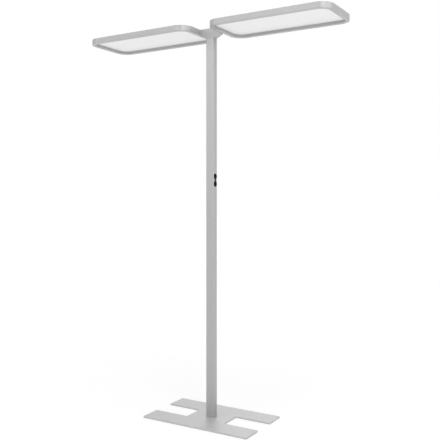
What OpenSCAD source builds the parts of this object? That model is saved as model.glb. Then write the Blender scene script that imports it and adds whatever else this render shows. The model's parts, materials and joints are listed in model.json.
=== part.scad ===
// Twin-head office floor lamp with direct and indirect light.
// Two flat heads sit on one bridge at the top of an extruded post. The post stands on an H-shaped
// steel plate whose two notches slide round the leg of a desk. X runs along the heads, -Y is the
// front, Z is up, and the origin lies on the floor under the axis of the post. Millimetres.

/* [Overall] */
// Height from the floor to the top of the heads
total_h = 1950; // [1800:10:2100]

/* [Base plate] */
// Length of the plate, along the heads
base_l = 590; // [520:5:680]
// Width of the plate, across the heads
base_w = 350; // [330:5:420]
// Thickness of the steel plate
base_t = 8; // [6:0.5:12]
// Width of each of the two long bars of the H
bar_w = 115; // [100:5:130]
// Length of the crosspiece that joins the bars, between the notches
cross_l = 215; // [160:5:280]
// Radius of the plate's outer corners
plate_r = 5; // [2:1:12]
// Radius of the notches' inner corners
notch_r = 6; // [2:1:15]

/* [Glides] */
// Diameter of each plastic glide
glide_d = 40; // [30:1:56]
// Height of a glide under the plate
glide_t = 2; // [1.5:0.5:5]
// Distance from the end of a bar to the middle of its glide
glide_inset = 35; // [30:1:60]
// Diameter of the pin that holds a glide in the plate
glide_pin_d = 8; // [5:0.5:12]
// Height of that pin
glide_pin_h = 5; // [3:0.5:6]

/* [Post] */
// Width of the post along the heads
post_x = 44; // [43:1:54]
// Width of the post's narrow face, which holds the buttons
post_y = 34; // [34:1:46]
// Wall of the extruded profile
post_wall = 2; // [1.6:0.1:2.2]
// Outer corner radius of the profile
post_r = 3; // [1:0.5:4]
// Thickness of the two rails inside the profile that hold the drivers
rail_t = 1.5; // [1:0.1:1.6]
// Depth by which a rail overlaps the edge of a driver
rail_lip = 1; // [0.8:0.1:1.5]
// Height of the aluminium block in the foot of the post
foot_block_h = 40; // [36:1:50]

/* [Cord inlet] */
// Height of the inlet above the top of the foot block
inlet_up = 30; // [26:1:60]
// Bore of the gland, for the mains cord
gland_bore = 7.2; // [6:0.1:9]
// Diameter of the gland's threaded neck
gland_neck_d = 12; // [11.5:0.5:16]
// Diameter of the gland's outer collar
gland_collar_d = 19; // [18:0.5:24]
// Thickness of the collar
gland_collar_t = 3; // [2:0.5:5]
// Thickness of the gland's nut inside the post
gland_nut_t = 4; // [3:0.5:6]

/* [Controls] */
// Height of the middle between the two buttons
control_z = 1192; // [900:2:1210]
// Distance between the middles of the buttons
button_pitch = 38; // [34:1:48]
// Diameter of the black ring round each button
bezel_d = 28; // [28:0.25:30]
// Thickness of the ring on the face of the post
bezel_t = 1.2; // [0.8:0.1:2]
// Width of the black strip between the two rings
neck_w = 12; // [8:0.5:16]
// Overlap of the ring on the post round the opening
bezel_lip = 1.2; // [0.8:0.1:1.6]
// Diameter of a button's cap
button_d = 22.4; // [18:0.1:23]
// Height of the cap above its ring
button_proud = 1.5; // [1.3:0.1:3]
// Travel of a button
button_travel = 1.2; // [0.6:0.1:1.2]
// Radius of the crowned top of the cap
crown_r = 70; // [50:5:150]
// Diameter of a button's guide stem
stem_d = 8; // [6:0.5:10]

/* [Bridge] */
// Gap between the two heads, which the bridge spans
head_gap = 114; // [104:1:150]
// Width of the bridge's two arms, front to back
bridge_w = 32; // [31:1:34]
// Height of the bridge at the post
bridge_h = 50; // [42:1:60]
// Height by which an arm's end reaches below its head
arm_drop = 2; // [0:0.5:4]
// Length of the spigot that goes down into the post
spigot_l = 60; // [40:1:90]
// Thickness of the lid on top of the bridge
lid_t = 2; // [1.5:0.5:3]

/* [Heads] */
// Length of a head
head_l = 628; // [560:4:680]
// Width of a head
head_w = 310; // [280:5:340]
// Thickness of a head
head_t = 28; // [27:0.5:34]
// Corner radius of a head, seen from above
head_r = 64; // [50:1:75]
// Width of the rim round the light panel
rim_w = 20; // [19.5:0.5:26]
// Depth of the recess up to the light panel
recess_h = 14; // [12:0.5:15]
// Wall of the cast frame
frame_wall = 2; // [1.6:0.1:2.2]
// Bevel along the frame's outer edges
frame_edge = 1.5; // [0.5:0.25:2]
// Thickness of the diffuser sheet
diffuser_t = 2; // [1.5:0.25:3]
// Thickness of the light guide
guide_t = 4; // [3:0.25:5]
// Thickness of the white reflector sheet
reflector_t = 0.5; // [0.3:0.1:1]
// Thickness of the aluminium back plate
back_t = 1.5; // [1.2:0.1:2]
// Thickness of the cover sheet on top of a head
cover_t = 2; // [2:0.1:2.5]
// Length of one uplight window
window_l = 216; // [180:2:220]
// Width of an uplight window
window_w = 10; // [8:0.5:12]

/* [Electrics] */
// Length of a driver
driver_l = 350; // [250:10:400]
// Width of a driver
driver_w = 29; // [24:0.5:29]
// Thickness of a driver
driver_t = 21; // [17:0.5:21]
// Height of the lower driver's foot above the floor
driver_low_z = 240; // [200:10:300]
// Height of the upper driver's foot above the floor
driver_high_z = 1300; // [1290:5:1320]
// Diameter of the inner cables
cable_d = 4.4; // [3:0.2:4.4]
// Thickness of the circuit boards
board_t = 1.6; // [1:0.1:1.6]

/* [Hidden] */

$fn = 72;
left = -1;
right = 1;
eps = 0.01;          // overlap that makes a cut or a union clean
fit = 0.1;           // clearance of a piece that fills its seat
screw_fit = 0.05;    // radial clearance of a screw in its hole

// Heights of the stack
plate_z = glide_t;
foot_z = plate_z + base_t;
inlet_z = foot_z + foot_block_h + inlet_up;
bridge_z = total_h - bridge_h;
head_z = total_h - head_t;

// Inside of the post
post_ix = post_x - 2 * post_wall;
post_iy = post_y - 2 * post_wall;
post_ir = 1;
rail_gap = 0.3;
rail_x = driver_t + rail_gap - post_ix / 2;
rail_reach = (post_iy - driver_w) / 2 + rail_lip;

// Drivers: a body with a slimmer terminal at each end, set off the wall past its corner radius
driver_seat = 0.2;
driver_x = driver_seat - post_ix / 2;
driver_end = 18;
driver_end_step = [4, 1.5];
driver_mid_x = driver_x + (driver_t - driver_end_step[0]) / 2;

// Terminal block: size, then the pitch, diameter and depth of its three openings
terminal_size = [16, 24, 14];
terminal_pitch = 8;
terminal_hole_d = 4;
terminal_hole_l = 4;
terminal_z = foot_z + foot_block_h;
terminal_x = -post_ix / 2 + terminal_size[0] / 2 + fit;

// Cables: their lane beside the drivers, the length of a bend, and the heights over which
// they leave a driver or a block and cross to their lane
cable_x = rail_x + rail_t + rail_gap + cable_d / 2;
cable_bend = 8;
cable_leave = 15;
cable_cross = 50;
mains_leave = 55;
mains_cross = 85;
output_y = 9;
control_lead_y = -1;
cable_hole_d = cable_d + 1;

// Gland: width of the nut over its corners, bevel of the collar, and neck left past the nut
nut_d = gland_neck_d + 7;
gland_edge = 1;
gland_end = 1;

// Screws: shank diameter, head diameter and head height
base_screw = [8, 15, 3.5];
foot_screw = [5, 9, 2.2];
lid_screw = [3, 5.6, 1.3];
cover_screw = [4, 7.5, 1.7];
head_screw = [5, 8.5, 5];
base_screw_x = 11;
base_screw_grip = 22;
foot_screw_x = 9;
foot_screw_l = 9;
foot_screw_drop = 8;
lid_screw_l = 8;
cover_screw_grip = 8;
socket = 0.6;        // width of a screw's hexagon socket, as a share of its shank or head

// Glides: room above the pin in its blind hole
glide_pin_gap = 0.5;

// Control module: a stack of depths that runs inwards from the face of the post
face_x = post_x / 2;
wall_x = face_x - post_wall;
collar_t = 1.4;
collar_over = 0.9;
button_clear = 0.3;
stop_gap = 0.1;
over_travel = 0.2;
guide_l = 2.8;
stem_fit = 0.1;
switch_h = 2.2;
switch_floor = 0.2;
carrier_x = wall_x - stop_gap - collar_t - button_travel - over_travel;
stem_end_x = carrier_x - guide_l;
switch_x = stem_end_x - button_travel - button_clear;
board_x = switch_x - switch_h;
carrier_back_x = board_x - board_t;
collar_d = button_d + 2 * collar_over;
carrier_w = post_iy - 2 * fit;
carrier_l = button_pitch + collar_d + 9;
lead_inset = 10;
carrier_side = 1.5;
carrier_end = 2;
switch_size = 9;
plunger_d = 3.5;
peg_d = 5;
opening_d = bezel_d - 2 * bezel_lip;
opening_neck = neck_w - 2 * bezel_lip;

// Bridge
trough_wall = 3;
trough_w = bridge_w - 2 * trough_wall;
trough_end = 10;
trough_floor_z = head_z + 6;
arm_foot_z = bridge_z + 1;
arm_end_z = head_z - arm_drop;
lid_rim = [2, 1.5];
lid_l = head_gap - 2 * lid_rim[0];
lid_w = bridge_w - 2 * lid_rim[1];
lid_screw_end = 5.5;
lid_screw_y = 8;
spigot_wall = 3;
spigot_screw_l = post_wall + fit + spigot_wall;
spigot_x = post_ix - 2 * fit;
spigot_y = post_iy - 2 * fit;
arm_axis_z = head_z + 12;
head_screw_y = 8;

// Heads, in a frame of their own: the middle of the head's underside is the origin
head_x = (head_gap + head_l) / 2;
inner_wall = 2;
floor_t = 2;
panel_inset = rim_w - inner_wall;
channel_w = panel_inset - frame_wall;
channel_mid = frame_wall + channel_w / 2;
guide_z = recess_h + diffuser_t;
reflector_z = guide_z + guide_t;
back_z = reflector_z + reflector_t;
foam_z = back_z + back_t;
cover_z = head_t - cover_t;
foam_l = 440;
foam_w = 12;
foam_pitch = 80;
cover_gap = 0.2;
boss_d = 9;
boss_hole_l = 9;
long_y = head_w / 2 - channel_mid;
short_x = head_l / 2 - channel_mid;
boss_inset = 14;
short_boss_y = head_w / 2 - head_r - boss_inset;
window_gap = 3;
window_x = boss_d / 2 + window_gap + window_l / 2;
window_fit = 0.15;
window_ledge = 1.5;
uplight_board_w = 11;
uplight_board_l = window_l - 2 * window_gap;
guide_gap = 0.6;
strip_foot = 8;
strip_h = recess_h + diffuser_t + guide_t - strip_foot;
strip_end = 10;
strip_l = head_l - 2 * (head_r + strip_end);
strip_top_gap = 0.3;
emitter_pitch = 30;
edge_emitter = [3, 0.4, 2.4];
up_emitter = [3, 3, 0.7];
mount_plate_t = 4;
mount_plate_w = 40;
mount_plate_gap = 0.5;
mount_plate_h = back_z - floor_t - mount_plate_gap;
connector_size = [10, 18, 14];
connector_gap = 1;

boss_spots = [
    [-short_x, -short_boss_y], [-short_x, short_boss_y],
    [short_x, -short_boss_y], [short_x, short_boss_y],
    [0, -long_y], [0, long_y]
];

// Flat outlines

module rounded_rect(l, w, r) {
    square([l - 2 * r, w], center = true);
    square([l, w - 2 * r], center = true);
    for (x = [-1, 1], y = [-1, 1])
        translate([x * (l / 2 - r), y * (w / 2 - r)])
            circle(r);
}

// The rails stand on the narrow faces' inner sides and face each other
module rail_outline(grow) {
    for (y = [-1, 1])
        translate([rail_x - grow, y > 0 ? post_iy / 2 - rail_reach - grow : -post_iy / 2 - grow - 1])
            square([rail_t + 2 * grow, rail_reach + 2 * grow + 1]);
}

// Two circles side by side with a straight strip between them
module twin_outline(d, strip) {
    for (y = [-1, 1])
        translate([0, y * button_pitch / 2])
            circle(d = d);
    square([strip, button_pitch], center = true);
}

// Solids that several pieces share

// Turns an outline of Y and Z into a solid that runs along X from x0 to x1
module along_x(x0, x1) {
    translate([x0, 0, 0])
        rotate([90, 0, 90])
            linear_extrude(x1 - x0)
                children();
}

// A screw on the Z axis: the head's top lies at 0 and the shank points down
module flat_screw(size, length) {
    difference() {
        union() {
            translate([0, 0, -size[2]])
                cylinder(h = size[2], d1 = size[0], d2 = size[1]);
            translate([0, 0, -length])
                cylinder(h = length - size[2] + eps, d = size[0]);
        }
        translate([0, 0, -size[2] * 0.7])
            cylinder(h = size[2], d = size[0] * socket, $fn = 6);
    }
}

module flat_screw_hole(size, length) {
    translate([0, 0, -size[2] - screw_fit])
        cylinder(h = size[2] + screw_fit, d1 = size[0] + 2 * screw_fit, d2 = size[1] + 4 * screw_fit);
    translate([0, 0, -eps])
        cylinder(h = 1, d = size[1] + 4 * screw_fit);
    translate([0, 0, -length - 1])
        cylinder(h = length + 1, d = size[0] + 2 * screw_fit);
}

// A screw on the Z axis whose head stands on top of its seat at 0
module cap_screw(size, length) {
    difference() {
        union() {
            cylinder(h = size[2], d = size[1]);
            translate([0, 0, -length])
                cylinder(h = length + eps, d = size[0]);
        }
        translate([0, 0, size[2] * 0.4])
            cylinder(h = size[2], d = size[0] * socket, $fn = 6);
    }
}

// Points +Z of its children to the back of the lamp
module to_back() {
    rotate([-90, 0, 0]) children();
}

// The points of a cable's run, with each bend rounded by a parabola that starts and ends
// cable_bend away from the corner
function smooth_run(p) = [
    p[0],
    for (i = [1 : len(p) - 2])
        let (a = p[i] + cable_bend * unit(p[i - 1] - p[i]), b = p[i] + cable_bend * unit(p[i + 1] - p[i]))
            for (t = [0 : 0.25 : 1])
                (1 - t) * (1 - t) * a + 2 * t * (1 - t) * p[i] + t * t * b,
    p[len(p) - 1]
];

function unit(v) = v / norm(v);

// Direction of the run at point i: the mean of the stretches before and after it
function heading(p, i) =
    i == 0 ? unit(p[1] - p[0])
    : i == len(p) - 1 ? unit(p[i] - p[i - 1])
    : unit(unit(p[i] - p[i - 1]) + unit(p[i + 1] - p[i]));

// A cable along a list of points: one tube with a ring of sides at each point of its run
module cable(points) {
    run = smooth_run(points);
    sides = 8;
    last = len(run) - 1;
    ring = [
        for (i = [0 : last])
            let (along = heading(run, i), across = unit(cross([0, 1, 0], along)), up = cross(along, across))
                for (k = [0 : sides - 1])
                    run[i] + cable_d / 2 * (cos(360 * k / sides) * across + sin(360 * k / sides) * up)
    ];
    polyhedron(ring, [
        [for (k = [0 : sides - 1]) k],
        for (i = [0 : last - 1], k = [0 : sides - 1])
            let (a = i * sides + k, b = i * sides + (k + 1) % sides)
                each [[a, a + sides, b], [b, a + sides, b + sides]],
        [for (k = [sides - 1 : -1 : 0]) last * sides + k]
    ]);
}

// Base

module base_outline() {
    difference() {
        union() {
            for (y = [-1, 1])
                translate([0, y * (base_w - bar_w) / 2])
                    rounded_rect(base_l, bar_w, plate_r);
            square([cross_l + 2 * notch_r, base_w - bar_w], center = true);
        }
        for (x = [-1, 1])
            translate([x * (cross_l / 2 + base_l / 2), 0])
                rounded_rect(base_l, base_w - 2 * bar_w, notch_r);
    }
}

module glide_spots() {
    for (x = [-1, 1], y = [-1, 1])
        translate([x * (base_l / 2 - glide_inset), y * (base_w - bar_w) / 2, 0])
            children();
}

module base_screw_spots() {
    for (x = [-1, 1])
        translate([x * base_screw_x, 0, plate_z])
            rotate([180, 0, 0])
                children();
}

module base_plate() {
    color("gainsboro")
        difference() {
            translate([0, 0, plate_z])
                linear_extrude(base_t)
                    base_outline();
            glide_spots()
                cylinder(h = plate_z + glide_pin_h + glide_pin_gap, d = glide_pin_d + 2 * fit);
            base_screw_spots()
                flat_screw_hole(base_screw, base_t);
        }
}

module base_glides() {
    color("dimgray")
        glide_spots() {
            rotate_extrude()
                polygon([
                    [0, 0], [glide_d / 2 - glide_t / 2, 0], [glide_d / 2, glide_t / 2],
                    [glide_d / 2, glide_t], [0, glide_t]
                ]);
            cylinder(h = glide_t + glide_pin_h, d = glide_pin_d);
        }
}

module base_screws() {
    color("silver")
        base_screw_spots()
            flat_screw(base_screw, base_t + base_screw_grip);
}

module foot_screw_spots() {
    for (x = [-1, 1])
        translate([x * foot_screw_x, post_y / 2, foot_z + foot_block_h - foot_screw_drop])
            to_back()
                children();
}

module foot_block() {
    color("darkgray")
        difference() {
            translate([0, 0, foot_z])
                linear_extrude(foot_block_h)
                    difference() {
                        rounded_rect(post_ix - 2 * fit, post_iy - 2 * fit, post_ir);
                        rail_outline(fit);
                    }
            for (x = [-1, 1])
                translate([x * base_screw_x, 0, foot_z - 1])
                    cylinder(h = base_screw_grip + 2, d = base_screw[0] + 2 * screw_fit);
            foot_screw_spots()
                translate([0, 0, -foot_screw_l - 1])
                    cylinder(h = foot_screw_l + 2, d = foot_screw[0] + 2 * screw_fit);
        }
}

module foot_screws() {
    color("silver")
        foot_screw_spots()
            cap_screw(foot_screw, foot_screw_l);
}

// Post

module spigot_screw_spots() {
    for (x = [-1, 1])
        translate([x * foot_screw_x, post_y / 2, bridge_z - spigot_l / 2])
            to_back()
                children();
}

module post() {
    color("silver")
        difference() {
            translate([0, 0, foot_z])
                linear_extrude(bridge_z - foot_z) {
                    difference() {
                        rounded_rect(post_x, post_y, post_r);
                        rounded_rect(post_ix, post_iy, post_ir);
                    }
                    intersection() {
                        rail_outline(0);
                        square([post_x - post_wall, post_y - post_wall], center = true);
                    }
                }
            translate([0, 0, control_z])
                along_x(wall_x - 1, face_x + 1)
                    twin_outline(opening_d, opening_neck);
            translate([0, post_iy / 2 - 1, inlet_z])
                to_back()
                    cylinder(h = post_wall + 2, d = gland_neck_d + 2 * fit);
            translate([0, post_iy / 2 - rail_reach - 1, inlet_z])
                to_back()
                    cylinder(h = rail_reach + 1, d = nut_d + 1);
            foot_screw_spots()
                translate([0, 0, -post_wall - 1])
                    cylinder(h = post_wall + 2, d = foot_screw[0] + 2 * screw_fit);
            spigot_screw_spots()
                translate([0, 0, -post_wall - 1])
                    cylinder(h = post_wall + 2, d = foot_screw[0] + 2 * screw_fit);
        }
}

// Cord inlet: the gland and its nut clamp the back wall of the post

module cord_gland() {
    neck_l = post_wall + gland_nut_t + gland_end;
    color("dimgray")
        translate([0, post_y / 2, inlet_z])
            to_back()
                rotate_extrude()
                    polygon([
                        [gland_bore / 2, -neck_l], [gland_neck_d / 2, -neck_l],
                        [gland_neck_d / 2, 0], [gland_collar_d / 2, 0],
                        [gland_collar_d / 2, gland_collar_t - gland_edge],
                        [gland_collar_d / 2 - gland_edge, gland_collar_t],
                        [gland_bore / 2, gland_collar_t]
                    ]);
}

module gland_nut() {
    color("dimgray")
        translate([0, post_iy / 2, inlet_z])
            to_back()
                difference() {
                    translate([0, 0, -gland_nut_t])
                        cylinder(h = gland_nut_t, d = nut_d, $fn = 6);
                    translate([0, 0, -gland_nut_t - 1])
                        cylinder(h = gland_nut_t + 2, d = gland_neck_d + 2 * screw_fit);
                }
}

// Electrics in the post

module terminal_block() {
    color("whitesmoke")
        translate([terminal_x, 0, terminal_z])
            difference() {
                translate([-terminal_size[0] / 2, -terminal_size[1] / 2, 0])
                    cube(terminal_size);
                for (y = [-1, 0, 1])
                    translate([terminal_size[0] / 2 - terminal_hole_l, y * terminal_pitch, terminal_hole_d])
                        rotate([0, 90, 0])
                            cylinder(h = terminal_hole_l + 1, d = terminal_hole_d);
            }
}

module driver(foot) {
    color("white")
        translate([driver_x, -driver_w / 2, foot]) {
            translate([0, 0, driver_end])
                cube([driver_t, driver_w, driver_l - 2 * driver_end]);
            for (z = [0, driver_l - driver_end - eps])
                translate([0, driver_end_step[1], z])
                    cube([
                        driver_t - driver_end_step[0],
                        driver_w - 2 * driver_end_step[1],
                        driver_end + eps
                    ]);
        }
}

// Supply leads from the terminal block to the two drivers
module mains_leads() {
    start_z = terminal_z + terminal_size[2];
    high = driver_high_z;
    color("white") {
        cable([[terminal_x, -terminal_pitch, start_z], [terminal_x, -terminal_pitch, driver_low_z]]);
        cable([
            [terminal_x, terminal_pitch, start_z], [terminal_x, terminal_pitch, start_z + mains_leave],
            [cable_x, terminal_pitch, start_z + mains_cross], [cable_x, terminal_pitch, high - cable_cross],
            [driver_mid_x, terminal_pitch, high - cable_leave], [driver_mid_x, terminal_pitch, high]
        ]);
    }
}

// Control leads from the back of the switch board, down and up to the two drivers
module control_leads() {
    lead_x = carrier_back_x - cable_d / 2 - fit;
    low = driver_low_z + driver_l;
    high = driver_high_z;
    board_end = carrier_l / 2 - lead_inset;
    color("black") {
        cable([
            [driver_mid_x, control_lead_y, low], [driver_mid_x, control_lead_y, low + cable_leave],
            [lead_x, control_lead_y, low + cable_cross], [lead_x, control_lead_y, control_z - board_end]
        ]);
        cable([
            [lead_x, control_lead_y, control_z + board_end], [lead_x, control_lead_y, high - cable_cross],
            [driver_mid_x, control_lead_y, high - cable_leave], [driver_mid_x, control_lead_y, high]
        ]);
    }
}

// Output cables from the drivers, up the post and through the arms of the bridge
module head_cables() {
    low = driver_low_z + driver_l;
    high = driver_high_z + driver_l;
    bend_x = post_x / 2 - post_wall;
    reach = head_gap / 2 + frame_wall + mount_plate_t + connector_gap;
    color("gray") {
        cable([
            [driver_mid_x, -output_y, low], [driver_mid_x, -output_y, low + cable_leave],
            [cable_x, -output_y, low + cable_cross], [cable_x, -output_y, arm_axis_z],
            [-bend_x, 0, arm_axis_z], [-reach, 0, arm_axis_z]
        ]);
        cable([
            [driver_mid_x, output_y, high], [driver_mid_x, output_y, high + cable_leave],
            [cable_x, output_y, high + cable_cross], [cable_x, output_y, arm_axis_z],
            [bend_x, 0, arm_axis_z], [reach, 0, arm_axis_z]
        ]);
    }
}

// Controls

module control_bezel() {
    color("black")
        translate([0, 0, control_z])
            difference() {
                union() {
                    along_x(face_x, face_x + bezel_t)
                        twin_outline(bezel_d, neck_w);
                    along_x(wall_x, face_x + eps)
                        twin_outline(opening_d - 2 * fit, opening_neck - 2 * fit);
                    along_x(carrier_x - guide_l, wall_x + eps)
                        circle(d = peg_d);
                }
                for (z = [-1, 1])
                    translate([wall_x - 1, 0, z * button_pitch / 2])
                        rotate([0, 90, 0])
                            cylinder(h = post_wall + bezel_t + 2, d = button_d + 2 * button_clear);
            }
}

module switch_carrier() {
    color("dimgray")
        translate([0, 0, control_z])
            difference() {
                intersection() {
                    along_x(carrier_back_x, wall_x)
                        square([carrier_w, carrier_l], center = true);
                    translate([0, 0, -carrier_l / 2 - 1])
                        linear_extrude(carrier_l + 2)
                            rounded_rect(post_ix, carrier_w, post_ir);
                }
                along_x(carrier_back_x - 1, board_x)
                    square([carrier_w - 2 * carrier_side, carrier_l - 2 * carrier_end], center = true);
                along_x(carrier_x - guide_l - 1, wall_x + 1)
                    circle(d = peg_d + 2 * screw_fit);
                for (z = [-1, 1])
                    translate([0, 0, z * button_pitch / 2]) {
                        along_x(carrier_x, wall_x + 1)
                            circle(d = collar_d + 2 * button_clear);
                        along_x(board_x - 1, carrier_x + 1)
                            circle(d = stem_d + 2 * stem_fit);
                        along_x(board_x - 1, stem_end_x)
                            square(switch_size + 1, center = true);
                    }
            }
}

module switch_board() {
    color("darkgreen")
        translate([0, 0, control_z])
            along_x(carrier_back_x, board_x)
                square([
                    carrier_w - 2 * (carrier_side + fit),
                    carrier_l - 2 * (carrier_end + fit)
                ], center = true);
}

module switch_bodies() {
    color("dimgray")
        for (z = [-1, 1])
            translate([0, 0, control_z + z * button_pitch / 2])
                difference() {
                    along_x(board_x, switch_x)
                        square(switch_size, center = true);
                    along_x(board_x + switch_floor, switch_x + 1)
                        circle(d = plunger_d + 2 * stem_fit);
                }
}

// Cap with a crowned top, a collar that keeps it behind the ring, and the guide stem
module button(z) {
    collar_x = wall_x - stop_gap;
    cap_h = face_x + bezel_t + button_proud - collar_x;
    color("black")
        translate([collar_x, 0, control_z + z * button_pitch / 2]) {
            rotate([0, 90, 0])
                rotate_extrude()
                    intersection() {
                        translate([0, -eps])
                            square([button_d / 2, cap_h + 1]);
                        translate([0, cap_h - crown_r])
                            circle(r = crown_r, $fn = 720);
                    }
            along_x(-collar_t, 0)
                circle(d = collar_d);
            along_x(stem_end_x - collar_x, -collar_t + eps)
                circle(d = stem_d);
        }
}

module plunger(z) {
    color("white")
        translate([0, 0, control_z + z * button_pitch / 2])
            along_x(board_x + switch_floor + button_travel + over_travel, stem_end_x)
                circle(d = plunger_d);
}

// Bridge

module lid_screw_spots() {
    for (x = [-1, 1], y = [-1, 1])
        translate([x * (head_gap / 2 - lid_screw_end), y * lid_screw_y, total_h])
            children();
}

module head_screw_spots() {
    for (y = [-1, 1])
        translate([head_gap / 2 - trough_end, y * head_screw_y, arm_axis_z])
            rotate([0, -90, 0])
                children();
}

// An arm seen from the front: its underside rises from the post to the head
module arm_side() {
    polygon([
        [0, total_h], [0, arm_foot_z], [post_x / 2, arm_foot_z],
        [head_gap / 2, arm_end_z], [head_gap / 2, total_h]
    ]);
}

module bridge() {
    color("silver")
        difference() {
            union() {
                for (side = [left, right])
                    on_side(side)
                        translate([0, bridge_w / 2, 0])
                            rotate([90, 0, 0])
                                linear_extrude(bridge_w)
                                    arm_side();
                translate([0, 0, bridge_z])
                    linear_extrude(bridge_h)
                        rounded_rect(post_x, post_y, post_r);
                translate([0, 0, bridge_z - spigot_l])
                    linear_extrude(spigot_l + 1)
                        difference() {
                            rounded_rect(spigot_x, spigot_y, post_ir);
                            rail_outline(fit);
                        }
            }
            translate([-head_gap / 2 + trough_end, -trough_w / 2, trough_floor_z])
                cube([head_gap - 2 * trough_end, trough_w, head_t]);
            translate([-lid_l / 2, -lid_w / 2, total_h - lid_t])
                cube([lid_l, lid_w, lid_t + 1]);
            translate([0, 0, bridge_z - spigot_l - 1])
                linear_extrude(spigot_l + trough_floor_z - bridge_z + 2)
                    square([spigot_x - 2 * spigot_wall, spigot_y - 2 * spigot_wall], center = true);
            lid_screw_spots()
                translate([0, 0, -lid_screw_l - 1])
                    cylinder(h = lid_screw_l + 1, d = lid_screw[0] + 2 * screw_fit);
            for (side = [left, right])
                on_side(side) {
                    head_screw_spots()
                        translate([0, 0, -trough_end - 1])
                            cylinder(h = trough_end + 2, d = head_screw[0] + 2 * screw_fit);
                    translate([head_gap / 2 - trough_end - 1, 0, arm_axis_z])
                        rotate([0, 90, 0])
                            cylinder(h = trough_end + 2, d = cable_hole_d);
                }
            spigot_screw_spots()
                translate([0, 0, -spigot_screw_l - 1])
                    cylinder(h = spigot_screw_l + 1, d = foot_screw[0] + 2 * screw_fit);
        }
}

module bridge_lid() {
    color("silver")
        difference() {
            translate([-lid_l / 2 + fit, -lid_w / 2 + fit, total_h - lid_t])
                cube([lid_l - 2 * fit, lid_w - 2 * fit, lid_t]);
            lid_screw_spots()
                flat_screw_hole(lid_screw, lid_t);
        }
}

module lid_screws() {
    color("silver")
        lid_screw_spots()
            flat_screw(lid_screw, lid_screw_l);
}

module spigot_screws() {
    color("silver")
        spigot_screw_spots()
            cap_screw(foot_screw, spigot_screw_l);
}

// Heads. Each piece is drawn for the right head, and the left one is its mirror image.

module on_side(side) {
    mirror([side < 0 ? 1 : 0, 0, 0]) children();
}

module in_head(side) {
    on_side(side)
        translate([head_x, 0, head_z])
            children();
}

// A flat sheet inside the head, a distance in from the head's outline
module head_sheet(inset, z0, z1) {
    translate([0, 0, z0])
        linear_extrude(z1 - z0)
            rounded_rect(head_l - 2 * inset, head_w - 2 * inset, head_r - inset);
}

// Carries a section round the head's outline: x runs inwards from the outline and y runs up
module around_head() {
    for (x = [0, 1], y = [0, 1])
        mirror([x, 0, 0])
            mirror([0, y, 0])
                translate([head_l / 2 - head_r, head_w / 2 - head_r, 0])
                    rotate_extrude(angle = 90, $fn = 144)
                        translate([head_r, 0])
                            mirror([1, 0])
                                children();
    for (turn = [0, 180])
        rotate([0, 0, turn])
            translate([-head_l / 2 + head_r, -head_w / 2, 0])
                rotate([90, 0, 90])
                    linear_extrude(head_l - 2 * head_r)
                        children();
    for (turn = [90, 270])
        rotate([0, 0, turn])
            translate([-head_w / 2 + head_r, -head_l / 2, 0])
                rotate([90, 0, 90])
                    linear_extrude(head_w - 2 * head_r)
                        children();
}

// Section of the frame: outer wall, floor of the rim, and the inner wall that carries the panel
module frame_section() {
    polygon([
        [0, frame_edge], [frame_edge, 0], [rim_w, 0], [rim_w, recess_h],
        [panel_inset, recess_h], [panel_inset, floor_t], [frame_wall, floor_t],
        [frame_wall, head_t], [frame_edge / 2, head_t], [0, head_t - frame_edge / 2]
    ]);
}

module head_frame(side) {
    color("silver")
        in_head(side)
            difference() {
                union() {
                    around_head()
                        frame_section();
                    for (spot = boss_spots)
                        translate([spot[0], spot[1], floor_t - eps])
                            cylinder(h = cover_z - floor_t + eps, d = boss_d);
                }
                for (spot = boss_spots)
                    translate([spot[0], spot[1], cover_z - boss_hole_l])
                        cylinder(h = boss_hole_l + 1, d = cover_screw[0] + 2 * screw_fit);
                for (y = [-1, 1])
                    translate([-head_l / 2 - 1, y * head_screw_y, arm_axis_z - head_z])
                        rotate([0, 90, 0])
                            cylinder(h = frame_wall + 2, d = head_screw[0] + 2 * screw_fit);
                translate([-head_l / 2 - 1, 0, arm_axis_z - head_z])
                    rotate([0, 90, 0])
                        cylinder(h = frame_wall + 2, d = cable_hole_d);
            }
}

module diffuser(side) {
    color("white")
        in_head(side)
            head_sheet(panel_inset, recess_h, guide_z);
}

module light_guide(side) {
    color("azure")
        in_head(side)
            head_sheet(panel_inset + guide_gap, guide_z, reflector_z);
}

module reflector(side) {
    color("white")
        in_head(side)
            head_sheet(panel_inset, reflector_z, back_z);
}

// Edge boards on the long sides, bonded to the inner wall, with a row of emitters each
module led_strips(side) {
    count = floor(strip_l / emitter_pitch);
    top = reflector_z - strip_top_gap;
    color("khaki")
        in_head(side)
            for (turn = [0, 180])
                rotate([0, 0, turn])
                    translate([0, -head_w / 2 + panel_inset, 0]) {
                        translate([-strip_l / 2, -board_t, top - strip_h])
                            cube([strip_l, board_t, strip_h]);
                        for (i = [0 : count - 1])
                            translate([
                                (i - (count - 1) / 2) * emitter_pitch - edge_emitter[0] / 2,
                                -eps,
                                guide_z + (guide_t - edge_emitter[2]) / 2
                            ])
                                cube(edge_emitter);
                    }
}

// The back plate fits round the bosses
module back_plate(side) {
    color("lightgray")
        in_head(side)
            difference() {
                head_sheet(frame_wall + cover_gap, back_z, foam_z);
                for (spot = boss_spots)
                    translate([spot[0], spot[1], back_z - 1])
                        cylinder(h = back_t + 2, d = boss_d + 2 * fit);
                window_spots()
                    translate([0, 0, back_z - 1])
                        linear_extrude(back_t + 2)
                            square([window_l - 2 * window_ledge, window_w - 2 * window_ledge], center = true);
            }
}

// Foam strips that the cover presses down on the back plate
module foam_strips(side) {
    color("dimgray")
        in_head(side)
            for (y = [-1, 0, 1])
                translate([-foam_l / 2, y * foam_pitch - foam_w / 2, foam_z])
                    cube([foam_l, foam_w, cover_z - foam_z]);
}

module window_spots() {
    for (x = [-1, 1], y = [-1, 1])
        translate([x * window_x, y * long_y, 0])
            children();
}

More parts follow.
